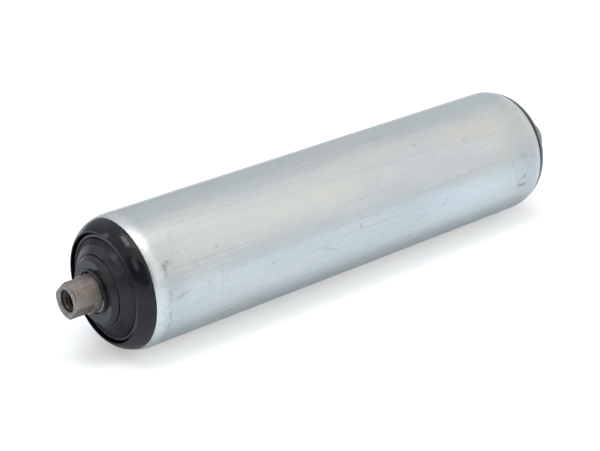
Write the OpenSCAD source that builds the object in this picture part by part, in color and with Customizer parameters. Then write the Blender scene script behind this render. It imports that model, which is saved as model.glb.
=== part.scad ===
/* Conveyor roller: a zinc plated steel tube that turns on a fixed shaft.
   The tube ends are rolled in over black moulded bearing housings. Each
   housing holds a deep groove ball bearing, a labyrinth ring and, with a gap
   all round, the end cover that sits still on the shaft.
   The roller axis is X and the origin is the middle of the roller. */

/* [Roller] */
// Length over the front rims of the two housings
roller_len = 204.5; // [150:0.1:1200]
// Outside diameter of the tube
tube_d = 50; // [49.8:0.1:50.2]
// Wall of the tube
tube_wall = 1.5; // [1.4:0.1:1.6]
// Outside radius of the rolled tube end, in section
roll_r = 11; // [10.9:0.05:11.1]
// Length over which the tube end is rolled in
roll_len = 4.25; // [4:0.05:4.5]

/* [Shaft] */
// Length of the shaft
shaft_len = 235.4; // [234:0.1:1240]
// Diameter of the shaft
shaft_d = 14; // [13.8:0.05:14]
// Distance across the two milled flats
flats_across = 11; // [10.5:0.1:12]
// Length of the flats from the shaft end
flats_len = 7.2; // [5:0.1:8]
// Direction that the flats face, turned from Y towards Z
flats_angle = 43; // [0:1:90]
// Bore of the tapped hole in each shaft end
tap_bore_d = 6.8; // [6.6:0.1:7]
// Depth of the bore of the tapped hole
tap_depth = 20; // [16:1:24]
// Chamfer on the shaft ends
shaft_chamfer = 0.6; // [0.3:0.1:1]

/* [Bearing] */
// Bore of the ball bearing
bearing_bore = 15; // [15:0.1:15.1]
// Outside diameter of the ball bearing
bearing_od = 32; // [31.9:0.1:32]
// Width of the ball bearing
bearing_w = 9; // [8.8:0.1:9]
// Number of balls
ball_count = 9; // [7:1:9]
// Diameter of a ball
ball_d = 4.76; // [4.7:0.01:4.8]
// Diameter of the circle through the ball centres
pitch_d = 23.5; // [23.4:0.05:23.6]

/* [End cover] */
// Outside diameter of the end cover
cover_d = 39.2; // [38.8:0.1:39.4]
// Diameter of the raised hub of the cover
hub_d = 26; // [25.5:0.1:26.5]
// Number of fine rings cut in the cone of the cover
ring_grooves = 7; // [4:1:8]
// How many of them, from the outside, run all the way round
full_rings = 3; // [0:1:3]
// Sweep of the others, which stop at the plain panel
groove_sweep = 219; // [120:1:300]

/* [Housing] */
// How far the front rim stands proud of the tube end
rim_proud = 5.2; // [5.1:0.05:5.3]
// Bore of the front rim
rim_bore_d = 40.5; // [40.4:0.05:40.6]
// Depth of the housing inside the tube
housing_depth = 19; // [17:0.5:24]
// Number of moulded ribs round the bearing seat
rib_count = 12; // [6:1:16]

/* [Hidden] */
$fn = 96;

// main radii and lengths
tube_r = tube_d / 2;
tube_bore_r = tube_r - tube_wall;
shaft_r = shaft_d / 2;
end_x = roller_len / 2 - rim_proud;
straight_x = end_x - roll_len;
rim_bore_r = rim_bore_d / 2;
reach = 60;

// rolled tube end, in section: its centre, and the lip that it stops at
lip_back = 0.2;
roll_centre_r = tube_r - roll_r;
roll_angle = asin((roll_len - lip_back) / roll_r);
lip_r = roll_centre_r + roll_r * cos(roll_angle);

// rounded rim of the housing, in section: an arc from the lip to its front edge
rim_arc_r = 10;
rim_edge_r = 20.8;
rim_drop = lip_r - rim_edge_r;
rim_rise = rim_proud + lip_back;
rim_facing = atan2(rim_drop, rim_rise);
rim_half = asin(norm([rim_drop, rim_rise]) / 2 / rim_arc_r);
rim_centre_r = rim_edge_r - rim_arc_r * cos(rim_facing + rim_half);
rim_centre_z = rim_proud - rim_arc_r * sin(rim_facing + rim_half);

// stations along a roller end, counted outwards from the plane of the tube end
bearing_front = -2;
bearing_back = bearing_front - bearing_w;
bearing_mid = bearing_front - bearing_w / 2;
pocket_floor = -1;
web_back = -3.2;
seat_back = bearing_back - 2;

// bearing housing
seat_r = bearing_od / 2;
seat_wall = 1.9;
sleeve_wall = 1.8;
shoulder_r = 13;
web_r = tube_bore_r - 1.2;
rib_t = 1.4;
rim_chamfer = 0.12;

// bearing rings, cage and seals
bore_r = bearing_bore / 2;
ball_r = ball_d / 2;
pitch_r = pitch_d / 2;
ball_play = 0.05;
groove_r = 2.5;
inner_land_r = 9.95;
outer_land_r = 13.6;
seal_seat_r = 14.5;
seal_seat_depth = 1.05;
seal_t = 0.8;
seal_lip_r = 10.15;
ring_chamfer = 0.5;
cage_in_r = 10.75;
cage_out_r = 12.8;
cage_back = -3.1;
cage_front = 1.35;
pocket_play = 0.07;

// labyrinth ring, pressed into the housing in front of the bearing
lab_r = 17.2;
lab_in_r = 13.4;
lab_wall = 0.9;
lab_base_top = -0.6;
lab_outer_top = 2.6;
lab_inner_top = 1.6;

// end cover
cover_r = cover_d / 2;
hub_r = hub_d / 2;
cover_face = 4.25;
band_r = 18.5;
hub_foot = 7.35;
crown_r = 11.1;
crown_top = 9.1;
dish_r = 9;
dish_floor = 8;
collar_top = 10.4;
collar_bore_r = 7.8;
collar_r = 8.75;
collar_round = 0.35;
clip_floor = 9.3;
core_r = 9.4;
cover_wall = 1.5;
cone_slope = (hub_foot - cover_face) / (band_r - hub_r);
groove_w = 0.3;
groove_pitch = 0.66;
groove_first_r = 17.9;
groove_start = 90;
panel_h = 0.15;

// retaining ring of round wire in its groove in the shaft
clip_wire_r = 0.45;
clip_r = 6.98;
clip_z = clip_floor + clip_wire_r + 0.02;
clip_groove_r = 0.5;
clip_sweep = 244;
clip_start = 30;

// tapped holes
csk_r = 4.5;
csk_depth = csk_r - tap_bore_d / 2;
drill_tip = 2;

// ---- frames of the two roller ends: local Z points outwards ----

module left_end() {
    translate([-end_x, 0, 0]) rotate([0, -90, 0]) children();
}

module right_end() {
    mirror([1, 0, 0]) left_end() children();
}

// ---- helpers for sections, drawn as [radius, station] ----

// slice of a ring round a centre, from one angle to another
module ring_slice(centre, r_out, r_in, from, to) {
    translate(centre) intersection() {
        difference() {
            circle(r = r_out);
            if (r_in > 0) circle(r = r_in);
        }
        polygon([
            [0, 0],
            [reach * cos(from), reach * sin(from)],
            [reach * cos(to), reach * sin(to)]
        ]);
    }
}

// rectangle between two radii and two stations
module band(r1, r2, z1, z2) {
    translate([r1, z1]) square([r2 - r1, z2 - z1]);
}

// bearing ring blank with chamfered corners
module ring_blank(r1, r2) {
    c = ring_chamfer;
    h = bearing_w / 2;
    polygon([
        [r1, -h + c], [r1 + c, -h], [r2 - c, -h], [r2, -h + c],
        [r2, h - c], [r2 - c, h], [r1 + c, h], [r1, h - c]
    ]);
}

// height of the cover's cone at a radius
function cone_z(r) = cover_face + (band_r - r) * cone_slope;

// ---- tube ----

module rolled_wall() {
    difference() {
        ring_slice([roll_centre_r, -roll_len], roll_r, roll_r - tube_wall, 0, roll_angle);
        // broken outer edge of the lip
        translate([lip_r, -lip_back]) rotate(45 + roll_angle) square(0.3, center = true);
    }
}

module tube() {
    color([0.80, 0.83, 0.86]) rotate([0, 90, 0]) rotate_extrude() {
        band(tube_bore_r, tube_r, -straight_x, straight_x);
        translate([0, end_x]) rolled_wall();
        mirror([0, 1]) translate([0, end_x]) rolled_wall();
    }
}

// ---- shaft ----

module shaft_blank() {
    h = shaft_len / 2;
    c = shaft_chamfer;
    rotate([0, 90, 0]) rotate_extrude() polygon([
        [0, -h], [shaft_r - c, -h], [shaft_r, -h + c],
        [shaft_r, h - c], [shaft_r - c, h], [0, h]
    ]);
}

// countersunk bore with the cone of the drill at its bottom
module tapped_bore() {
    r = tap_bore_d / 2;
    rotate_extrude() polygon([
        [0, 1], [csk_r + 1, 1], [csk_r, 0], [r, -csk_depth],
        [r, -tap_depth], [0, -tap_depth - drill_tip]
    ]);
}

module shaft_flats() {
    rotate([flats_angle, 0, 0]) for (side = [-1, 1])
        translate([-1, side > 0 ? flats_across / 2 : -flats_across / 2 - 5, -shaft_r - 1])
            cube([flats_len + 1, 5, 2 * shaft_r + 2]);
}

module clip_groove() {
    rotate_extrude() translate([clip_r, clip_z]) circle(r = clip_groove_r);
}

module shaft_end_cuts() {
    translate([-shaft_len / 2, 0, 0]) {
        rotate([0, -90, 0]) tapped_bore();
        shaft_flats();
    }
    left_end() clip_groove();
}

module shaft() {
    color([0.66, 0.63, 0.60]) difference() {
        shaft_blank();
        shaft_end_cuts();
        mirror([1, 0, 0]) shaft_end_cuts();
    }
}

// ---- end cover: cone, hub, collar and two labyrinth skirts in one moulding ----

module cover_section() {
    difference() {
        union() {
            // dished front wall
            polygon([
                [cover_r, 2.4], [cover_r, cover_face - 0.35],
                [cover_r - 0.35, cover_face], [band_r, cover_face],
                [hub_r, hub_foot], [12.1, 8.5], [crown_r + 0.25, crown_top],
                [crown_r - 0.2, crown_top], [dish_r, dish_floor],
                [shaft_r, dish_floor], [shaft_r, 6.2], [core_r, 6.2],
                [11.4, 6.3], [band_r - 0.2, 2.4]
            ]);
            // hub core that seats on the inner ring of the bearing
            band(shaft_r, core_r, bearing_front, clip_floor - 1.4);
            band(shaft_r, dish_r - 0.2, dish_floor - 0.5, clip_floor);
            // sleeve through the bearing bore
            band(shaft_r, bore_r, bearing_back, bearing_front);
            // collar round the retaining ring, with a rounded front edge
            polygon([
                [collar_bore_r, clip_floor - 1], [dish_r + 0.1, dish_floor - 0.4],
                [dish_r, dish_floor + 0.3], [collar_r, collar_top - collar_round],
                [collar_bore_r, collar_top - collar_round]
            ]);
            hull() for (r = [collar_bore_r + collar_round, collar_r - collar_round])
                translate([r, collar_top - collar_round]) circle(r = collar_round);
            // labyrinth skirts
            band(18.6, cover_r, -0.3, 3);
            band(14.6, 15.6, 0.3, 5);
        }
        // line between the cone and the hub
        translate([hub_r, hub_foot]) rotate(-36) square([0.28, 0.5], center = true);
        // line inside the outer band
        translate([band_r - 0.12, cover_face]) square([0.3, 0.5], center = true);
    }
}

function groove_at(i) = groove_first_r - i * groove_pitch;

module fine_rings(first, last) {
    for (i = [first : last]) translate([groove_at(i), cone_z(groove_at(i))])
        rotate(-atan(cone_slope)) square([groove_w, 0.5], center = true);
}

// plain raised panel where the inner rings stop
module plain_panel() {
    r1 = groove_at(full_rings) + 0.2;
    r2 = hub_r + 0.7;
    rotate([0, 0, groove_start + groove_sweep + 4])
        rotate_extrude(angle = 360 - groove_sweep - 8) polygon([
            [r1, cone_z(r1) - 0.5], [r1, cone_z(r1) + panel_h],
            [r2, cone_z(r2) + panel_h], [r2, cone_z(r2) - 0.5]
        ]);
}

module end_cover() {
    color([0.24, 0.24, 0.26]) difference() {
        union() {
            rotate_extrude() cover_section();
            plain_panel();
        }
        if (full_rings > 0) rotate_extrude() fine_rings(0, full_rings - 1);
        rotate([0, 0, groove_start]) rotate_extrude(angle = groove_sweep)
            fine_rings(full_rings, ring_grooves - 1);
    }
}

// ---- retaining ring ----

module retaining_ring() {
    color([0.72, 0.72, 0.72]) rotate([0, 0, clip_start])
        rotate_extrude(angle = clip_sweep)
            translate([clip_r, clip_z]) circle(r = clip_wire_r, $fn = 32);
}

// ---- bearing housing: rim, sleeve, seat ring and ribs in one moulding ----

module housing_section() {
    difference() {
        union() {
            // wall under the rolled tube end, and the rounded rim in front of it
            ring_slice([roll_centre_r, -roll_len], roll_r - tube_wall, 0, 0, roll_angle);
            polygon([
                [roll_centre_r, -roll_len], [lip_r, -lip_back],
                [rim_edge_r, rim_proud], [rim_bore_r - 1, rim_proud]
            ]);
            ring_slice([rim_centre_r, rim_centre_z], rim_arc_r, 0,
                rim_facing - rim_half, rim_facing + rim_half);
            // sleeve in the tube, with a lead-in edge
            polygon([
                [tube_bore_r, -roll_len], [tube_bore_r, -housing_depth + 0.8],
                [tube_bore_r - 0.5, -housing_depth],
                [tube_bore_r - sleeve_wall, -housing_depth],
                [tube_bore_r - sleeve_wall, -roll_len]
            ]);
            // front web, seat ring and rear shoulder
            band(seat_r, web_r, web_back - 1.05, pocket_floor);
            band(seat_r, seat_r + seat_wall, seat_back, pocket_floor);
            band(shoulder_r, seat_r + 0.5, seat_back, bearing_back);
        }
        // bearing seat and the counterbore of the labyrinth ring
        band(0, seat_r, bearing_back, reach);
        band(0, lab_r, bearing_front, reach);
        // front pocket, with a broken edge at the rim
        band(0, rim_bore_r, pocket_floor, reach);
        polygon([
            [rim_bore_r - 1, rim_proud - rim_chamfer - 1],
            [rim_bore_r + rim_chamfer + 0.2, rim_proud + 0.2],
            [rim_bore_r - 1, rim_proud + 0.2]
        ]);
    }
}

module housing_ribs() {
    r1 = seat_r + seat_wall - 0.3;
    r2 = tube_bore_r - sleeve_wall + 0.3;
    for (i = [0 : rib_count - 1]) rotate([0, 0, i * 360 / rib_count])
        translate([r1, -rib_t / 2, seat_back + 1])
            cube([r2 - r1, rib_t, web_back - seat_back - 1.5]);
}

module bearing_housing() {
    color([0.16, 0.16, 0.18]) {
        rotate_extrude() housing_section();
        housing_ribs();
    }
}

// ---- labyrinth ring ----

module labyrinth_ring() {
    color([0.30, 0.30, 0.32]) rotate_extrude() {
        band(lab_in_r, lab_r, bearing_front, lab_base_top);
        band(lab_r - lab_wall, lab_r, lab_base_top, lab_outer_top);
        band(lab_in_r, lab_in_r + 0.6, lab_base_top, lab_inner_top);
    }
}

// ---- ball bearing ----

module outer_ring() {
    color([0.75, 0.76, 0.78]) translate([0, 0, bearing_mid]) rotate_extrude() difference() {
        ring_blank(outer_land_r, seat_r);
        translate([pitch_r + ball_r + ball_play - groove_r, 0]) circle(r = groove_r);
        for (side = [-1, 1])
            translate([seal_seat_r / 2, side * (bearing_w / 2 - seal_seat_depth / 2 + 0.5)])
                square([seal_seat_r, seal_seat_depth + 1], center = true);
    }
}

module inner_ring() {
    color([0.75, 0.76, 0.78]) translate([0, 0, bearing_mid]) rotate_extrude() difference() {
        ring_blank(bore_r, inner_land_r);
        translate([pitch_r - ball_r - ball_play + groove_r, 0]) circle(r = groove_r);
    }
}

module each_ball() {
    for (i = [0 : ball_count - 1]) rotate([0, 0, i * 360 / ball_count])
        translate([pitch_r, 0, 0]) children();
}

module balls() {
    color([0.85, 0.86, 0.88]) translate([0, 0, bearing_mid])
        each_ball() sphere(r = ball_r, $fn = 48);
}

module ball_cage() {
    color([0.80, 0.76, 0.62]) translate([0, 0, bearing_mid]) difference() {
        rotate_extrude() band(cage_in_r, cage_out_r, cage_back, cage_front);
        each_ball() sphere(r = ball_r + pocket_play, $fn = 48);
        // gaps in the front edge, so that every pocket can snap over its ball
        each_ball() translate([0, 0, cage_front])
            cube([4, 3.2, 1.6], center = true);
    }
}

// sealing washer with a thick outer edge and a thin lip
module seal(side) {
    outer = bearing_w / 2 - 0.25;
    color([0.22, 0.22, 0.24]) translate([0, 0, bearing_mid])
        mirror([0, 0, side > 0 ? 0 : 1]) rotate_extrude() polygon([
            [seal_seat_r, outer - seal_t], [seal_seat_r, outer],
            [seal_seat_r - 0.6, outer], [seal_seat_r - 1, outer - 0.2],
            [seal_lip_r + 0.7, outer - 0.2], [seal_lip_r, outer],
            [seal_lip_r, outer - seal_t]
        ]);
}

// ---- nodes ----

shaft();
tube();
left_end() end_cover();  // end_cover_left
right_end() end_cover();  // end_cover_right
left_end() retaining_ring();  // retaining_ring_left
right_end() retaining_ring();  // retaining_ring_right
left_end() bearing_housing();  // bearing_housing_left
right_end() bearing_housing();  // bearing_housing_right
left_end() labyrinth_ring();  // labyrinth_ring_left
right_end() labyrinth_ring();  // labyrinth_ring_right
left_end() outer_ring();  // bearing_outer_ring_left
right_end() outer_ring();  // bearing_outer_ring_right
left_end() inner_ring();  // bearing_inner_ring_left
right_end() inner_ring();  // bearing_inner_ring_right
left_end() balls();  // bearing_balls_left
right_end() balls();  // bearing_balls_right
left_end() ball_cage();  // ball_cage_left
right_end() ball_cage();  // ball_cage_right
left_end() seal(1);  // front_seal_left
right_end() seal(1);  // front_seal_right
left_end() seal(-1);  // rear_seal_left
right_end() seal(-1);  // rear_seal_right
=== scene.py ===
import math

import bmesh
import bpy
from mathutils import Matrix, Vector


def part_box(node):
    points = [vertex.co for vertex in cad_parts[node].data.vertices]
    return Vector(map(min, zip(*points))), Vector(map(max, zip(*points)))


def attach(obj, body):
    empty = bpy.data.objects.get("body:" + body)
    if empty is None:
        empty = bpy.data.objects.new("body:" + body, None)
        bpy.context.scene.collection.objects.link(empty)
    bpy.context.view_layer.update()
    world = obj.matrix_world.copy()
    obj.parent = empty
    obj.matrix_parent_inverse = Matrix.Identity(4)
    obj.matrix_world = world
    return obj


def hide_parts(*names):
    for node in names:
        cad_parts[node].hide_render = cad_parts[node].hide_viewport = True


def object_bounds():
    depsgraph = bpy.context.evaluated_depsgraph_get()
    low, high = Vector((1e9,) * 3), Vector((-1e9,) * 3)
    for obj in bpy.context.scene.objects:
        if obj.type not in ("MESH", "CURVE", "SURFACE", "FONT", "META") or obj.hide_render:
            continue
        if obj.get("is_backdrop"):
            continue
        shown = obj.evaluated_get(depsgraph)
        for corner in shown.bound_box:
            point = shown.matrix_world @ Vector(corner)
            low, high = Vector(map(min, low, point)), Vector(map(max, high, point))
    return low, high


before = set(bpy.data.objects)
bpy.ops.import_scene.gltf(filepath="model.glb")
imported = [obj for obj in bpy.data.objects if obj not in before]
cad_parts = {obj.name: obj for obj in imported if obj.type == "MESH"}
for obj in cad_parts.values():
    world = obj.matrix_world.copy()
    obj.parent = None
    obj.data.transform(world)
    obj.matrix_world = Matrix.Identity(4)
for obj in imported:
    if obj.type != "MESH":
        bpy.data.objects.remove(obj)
cad_low, cad_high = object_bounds()

# ---- shaft ----
# A bare drawn steel bar on the roller's axis, from one frame plate to the other. Each end is
# chamfered, drilled and tapped M8, and has two flats milled on it that stop it from turning.

# sizes are in millimetres: x along the axis from the middle of the roller, r outwards from the axis
MM = 0.001
SIDES = {"left": -1, "right": 1}
SHARP = math.radians(33)

rim_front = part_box("bearing_housing_right")[1].x / MM
rim_proud = 5.2
lip = rim_front - rim_proud
shaft_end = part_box("shaft")[1].x / MM
shaft_r = 7.0
chamfer = 0.6
flat_reach = 5.5
flat_turn = 43.0
flat_start = shaft_end - 7.2
thread_pitch = 1.25
thread_root = 4.0
thread_crest = 3.4
thread_floor = shaft_end - 16.0
bore_floor = shaft_end - 20.0
countersink_r = 4.55
clip_at = lip + 9.77
clip_centre_r = 6.98
clip_groove_r = 0.5


def rounded(corners, closed=True):
    """Points along a section of (x, radius, fillet), with an arc in place of each filleted corner."""
    points = []
    count = len(corners)
    for i, (x, r, fillet) in enumerate(corners):
        at_end = not closed and i in (0, count - 1)
        if fillet == 0 or at_end:
            points.append((x, r))
            continue
        ax, ar, _ = corners[i - 1]
        bx, br, _ = corners[(i + 1) % count]
        back = math.atan2(ar - r, ax - x)
        on = math.atan2(br - r, bx - x)
        room = min(math.hypot(ar - r, ax - x), math.hypot(br - r, bx - x)) * 0.45
        half = abs((on - back + math.pi) % (2 * math.pi) - math.pi) / 2
        reach = min(fillet / math.tan(half), room)
        fillet = reach * math.tan(half)
        middle = back + ((on - back + math.pi) % (2 * math.pi) - math.pi) / 2
        far = fillet / math.sin(half)
        cx, cr = x + far * math.cos(middle), r + far * math.sin(middle)
        first = math.atan2(r + reach * math.sin(back) - cr, x + reach * math.cos(back) - cx)
        last = math.atan2(r + reach * math.sin(on) - cr, x + reach * math.cos(on) - cx)
        sweep = (last - first + math.pi) % (2 * math.pi) - math.pi
        pieces = max(2, round(abs(sweep) / math.radians(22)))
        lead = min(reach * 1.5, room * 1.9)
        points.append((x + lead * math.cos(back), r + lead * math.sin(back)))
        for k in range(pieces + 1):
            turn = first + sweep * k / pieces
            points.append((cx + fillet * math.cos(turn), cr + fillet * math.sin(turn)))
        points.append((x + lead * math.cos(on), r + lead * math.sin(on)))
    return points


def all_round(steps, extra=()):
    """Angles in degrees round the axis, evenly spaced, with some more where an edge needs them."""
    return sorted({round(a % 360, 4) for a in [360 * i / steps for i in range(steps)] + list(extra)})


def turned(name, section, angles, shape=None, closed=True):
    """A body turned about the roller's axis from a section of (x, radius) points in millimetres."""
    body = bmesh.new()
    rings = []
    for angle in angles:
        c, s = math.cos(math.radians(angle)), math.sin(math.radians(angle))
        ring = []
        for x, r in section:
            if shape:
                x, r = shape(x, r, angle)
            ring.append(body.verts.new((x * MM, r * c * MM, r * s * MM)))
        rings.append(ring)
    last = len(section) if closed else len(section) - 1
    for here, there in zip(rings, rings[1:] + rings[:1]):
        for i in range(last):
            j = (i + 1) % len(section)
            body.faces.new((here[i], here[j], there[j], there[i]))
    bmesh.ops.remove_doubles(body, verts=body.verts, dist=0.0005 * MM)
    bmesh.ops.recalc_face_normals(body, faces=body.faces)
    mesh = bpy.data.meshes.new(name)
    body.to_mesh(mesh)
    body.free()
    return placed(name, mesh)


def placed(name, mesh):
    """An object of its own for a finished mesh, smooth but for its sharp edges."""
    mesh.polygons.foreach_set("use_smooth", [True] * len(mesh.polygons))
    mesh.set_sharp_from_angle(angle=SHARP)
    piece = bpy.data.objects.new(name, mesh)
    bpy.context.scene.collection.objects.link(piece)
    return piece


def softer(a, b, k=0.05):
    """The smaller of two radii, with a rounded edge where they meet."""
    h = min(1.0, max(0.0, 0.5 + 0.5 * (b - a) / k))
    return b + (a - b) * h - k * h * (1 - h)


def milled(x, r, angle):
    """Cuts the two flats near the ends of the shaft."""
    across = abs(math.cos(math.radians(angle - flat_turn)))
    if abs(x) < flat_start or across * r < 0.5 * flat_reach:
        return x, r
    return x, softer(r, flat_reach / across)


def groove(x, centre_r, radius, pieces=8):
    """Section of a round groove across the surface, at a station."""
    turns = [math.pi * (k / pieces - 0.5) for k in range(pieces + 1)]
    return [(x + radius * math.sin(t), centre_r - radius * math.cos(t), 0) for t in turns]


# one half of the bar: groove for the wire ring, flats, chamfer, countersink, thread, drilled bore
shaft_half = [
    *groove(clip_at, clip_centre_r, clip_groove_r),
    (flat_start - 0.01, shaft_r, 0), (flat_start, shaft_r, 0), (flat_start + 3, shaft_r, 0),
    (shaft_end - chamfer, shaft_r, 0.2), (shaft_end, shaft_r - chamfer, 0.12),
    (shaft_end, countersink_r, 0.1), (shaft_end - 0.55, thread_root, 0.1),
    (thread_floor - 0.4, thread_root, 0), (thread_floor - 1, thread_crest, 0),
    (bore_floor, thread_crest, 0), (bore_floor - 2, 0, 0),
]
shaft_section = [(-x, r, f) for x, r, f in reversed(shaft_half)]
shaft_section += [(lip * k / 4, shaft_r, 0) for k in range(-4, 5)]
shaft_section += shaft_half
edge_at = math.degrees(math.acos(flat_reach / shaft_r))
flat_edges = [flat_turn + half + side * edge_at + d
              for half in (0, 180) for side in (-1, 1) for d in (-1.4, -0.7, 0, 0.7, 1.4)]
shaft = turned("shaft_bar", rounded(shaft_section, closed=False), all_round(192, flat_edges),
               shape=milled, closed=False)


def put(tree, kind, inputs=None, output=0, **settings):
    """Adds a node, sets it up, and gives back one of its outputs. An input is a value or an output."""
    node = tree.nodes.new(kind)
    for name, value in settings.items():
        setattr(node, name, value)
    for name, value in (inputs or {}).items():
        if isinstance(value, bpy.types.NodeSocket):
            tree.links.new(value, node.inputs[name])
        else:
            node.inputs[name].default_value = value
    return node.outputs[output]


def sums(tree, operation, *terms):
    """A Math node."""
    return put(tree, "ShaderNodeMath", dict(enumerate(terms)), operation=operation)


def nodes_group(name, kind, inputs, outputs):
    """An empty node group, with its sockets, and its two ends."""
    tree = bpy.data.node_groups.new(name, kind)
    for direction, sockets in (("INPUT", inputs), ("OUTPUT", outputs)):
        for title, (socket, value) in sockets.items():
            made = tree.interface.new_socket(title, in_out=direction, socket_type="NodeSocket" + socket)
            if value is not None:
                made.default_value = value
    return tree, tree.nodes.new("NodeGroupInput").outputs, tree.nodes.new("NodeGroupOutput").inputs


def grown(name, tree, **values):
    """The plain mesh that a Geometry Nodes tree makes from its named inputs."""
    holder = bpy.data.objects.new(name + "_nodes", bpy.data.meshes.new(name + "_nodes"))
    modifier = holder.modifiers.new("grow", "NODES")
    modifier.node_group = tree
    for item in tree.interface.items_tree:
        if item.in_out == "INPUT" and item.name in values:
            modifier[item.identifier] = values[item.name]
    bpy.context.scene.collection.objects.link(holder)
    graph = bpy.context.evaluated_depsgraph_get()
    mesh = bpy.data.meshes.new_from_object(holder.evaluated_get(graph), depsgraph=graph)
    mesh.name = name
    bpy.data.objects.remove(holder)
    return placed(name, mesh)


# a thread ridge is a tapered bar that follows a spiral, and runs out at both of its ends
ridge_tree, given, made = nodes_group(
    "thread ridge", "GeometryNodeTree",
    {"Turns": ("Float", 10.0), "Pitch": ("Float", 0.001), "Root": ("Float", 0.004),
     "Height": ("Float", 0.0006), "Start": ("Vector", None), "Facing": ("Vector", None),
     "Material": ("Material", None)},
    {"Geometry": ("Geometry", None)})
spiral = put(ridge_tree, "GeometryNodeCurveSpiral", {
    "Resolution": 72, "Rotations": given["Turns"], "Start Radius": given["Root"],
    "End Radius": given["Root"], "Reverse": True,
    "Height": sums(ridge_tree, "MULTIPLY", given["Turns"], given["Pitch"])})
bar = put(ridge_tree, "GeometryNodeCurvePrimitiveQuadrilateral", {
    "Bottom Width": sums(ridge_tree, "MULTIPLY", given["Pitch"], 0.94),
    "Top Width": sums(ridge_tree, "MULTIPLY", given["Pitch"], 0.2),
    "Height": given["Height"], "Offset": 0.0}, mode="TRAPEZOID")
bar = put(ridge_tree, "GeometryNodeTransform", {
    "Geometry": bar, "Rotation": (0, 0, -math.pi / 2),
    "Translation": put(ridge_tree, "ShaderNodeCombineXYZ",
                       {"X": sums(ridge_tree, "MULTIPLY", given["Height"], 0.46)})})
along = put(ridge_tree, "GeometryNodeSplineParameter")
to_end = sums(ridge_tree, "MINIMUM", along, sums(ridge_tree, "SUBTRACT", 1.0, along))
run_out = sums(ridge_tree, "MINIMUM", 1.0, sums(ridge_tree, "MULTIPLY", to_end, 14.0))
ridge = put(ridge_tree, "GeometryNodeCurveToMesh", {
    "Curve": spiral, "Profile Curve": bar, "Scale": run_out, "Fill Caps": True})
ridge = put(ridge_tree, "GeometryNodeTransform", {
    "Geometry": ridge, "Rotation": given["Facing"], "Translation": given["Start"]})
ridge = put(ridge_tree, "GeometryNodeRealizeInstances", {"Geometry": ridge})
ridge_tree.links.new(put(ridge_tree, "GeometryNodeSetMaterial", {
    "Geometry": ridge, "Material": given["Material"]}), made["Geometry"])


def finish(name, colour, metallic, roughness):
    """A material with its shader and the object's own coordinates, in millimetres."""
    material = bpy.data.materials.new(name)
    material.use_nodes = True
    tree = material.node_tree
    shader = tree.nodes["Principled BSDF"]
    shader.inputs["Base Color"].default_value = (*colour, 1)
    shader.inputs["Metallic"].default_value = metallic
    shader.inputs["Roughness"].default_value = roughness
    place = put(tree, "ShaderNodeTexCoord", output="Object")
    place = put(tree, "ShaderNodeVectorMath", {0: place, "Scale": 1 / MM}, operation="SCALE")
    return material, tree, shader.inputs, place


def noise(tree, place, scale, detail=3.0, roughness=0.5, stretch=None, offset=(0, 0, 0)):
    """A Noise texture. One that is stretched along X, Y and Z can start at an offset of its own."""
    if stretch:
        place = put(tree, "ShaderNodeMapping", {"Vector": place, "Scale": stretch, "Location": offset})
    return put(tree, "ShaderNodeTexNoise", {
        "Vector": place, "Scale": scale, "Detail": detail, "Roughness": roughness})


def fade(tree, value, low, high, out_low=0.0, out_high=1.0):
    """A value carried smoothly from one range to another."""
    return put(tree, "ShaderNodeMapRange", {
        "Value": value, "From Min": low, "From Max": high, "To Min": out_low, "To Max": out_high},
        interpolation_type="SMOOTHSTEP")


def tint(tree, amount, below, above):
    """Two colours mixed by an amount. A colour is three numbers or an output."""
    ends = [c if isinstance(c, bpy.types.NodeSocket) else (*c, 1) for c in (below, above)]
    return put(tree, "ShaderNodeMix", {0: amount, 6: ends[0], 7: ends[1]}, output=2, data_type="RGBA")


def effect(tree, group, **values):
    """One of the shared effects below, with a material's own values. Patch_size sets Patch size."""
    inputs = {name.replace("_", " "): value for name, value in values.items()}
    return put(tree, "ShaderNodeGroup", inputs, node_tree=group)


def from_axis(tree, place):
    """Distance of a place from the roller's axis."""
    across = put(tree, "ShaderNodeVectorMath", {0: place, 1: (0, 1, 1)}, operation="MULTIPLY")
    return put(tree, "ShaderNodeVectorMath", {0: across}, output="Value", operation="LENGTH")


def split(tree, place):
    """The X, Y and Z of a place."""
    parts = tree.nodes.new("ShaderNodeSeparateXYZ")
    tree.links.new(place, parts.inputs[0])
    return parts.outputs


def bumped(tree, height, depth, sockets, strength=1.0, under=None):
    """Feeds a height, in millimetres at its deepest, to the shader's normal."""
    inputs = {"Strength": strength, "Distance": depth * MM, "Height": height}
    if under:
        inputs["Normal"] = under
    normal = put(tree, "ShaderNodeBump", inputs)
    tree.links.new(normal, sockets["Normal"])
    return normal


def dress(piece, body, material, slot, *stands_for):
    """Gives a piece its material and body, and hides the CAD nodes that it stands for. The slot is not
    used.
    """
    piece.data.materials.clear()
    piece.data.materials.append(material)
    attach(piece, body)
    if stands_for:
        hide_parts(*stands_for)


def paint(node, material):
    """Gives the CAD node of this name at each end of the roller its material."""
    for side in SIDES:
        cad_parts[f"{node}_{side}"].material_slots[0].material = material


# edge wear: convex corners rubbed bright, broken up so that no edge is worn evenly
wear_group, given, made = nodes_group(
    "edge wear", "ShaderNodeTree",
    {"Place": ("Vector", None), "Reach": ("Float", 0.06), "Patch size": ("Float", 0.6)},
    {"Worn": ("Float", None)})
corner = put(wear_group, "ShaderNodeNewGeometry", output="Pointiness")
corner = put(wear_group, "ShaderNodeMapRange", {
    "Value": corner, "From Min": 0.505, "From Max": sums(wear_group, "ADD", 0.505, given["Reach"])})
patch = put(wear_group, "ShaderNodeTexNoise", {
    "Vector": given["Place"], "Scale": given["Patch size"], "Detail": 4.0})
wear_group.links.new(sums(wear_group, "MULTIPLY", corner, fade(wear_group, patch, 0.35, 0.6)),
                     made["Worn"])

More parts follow.
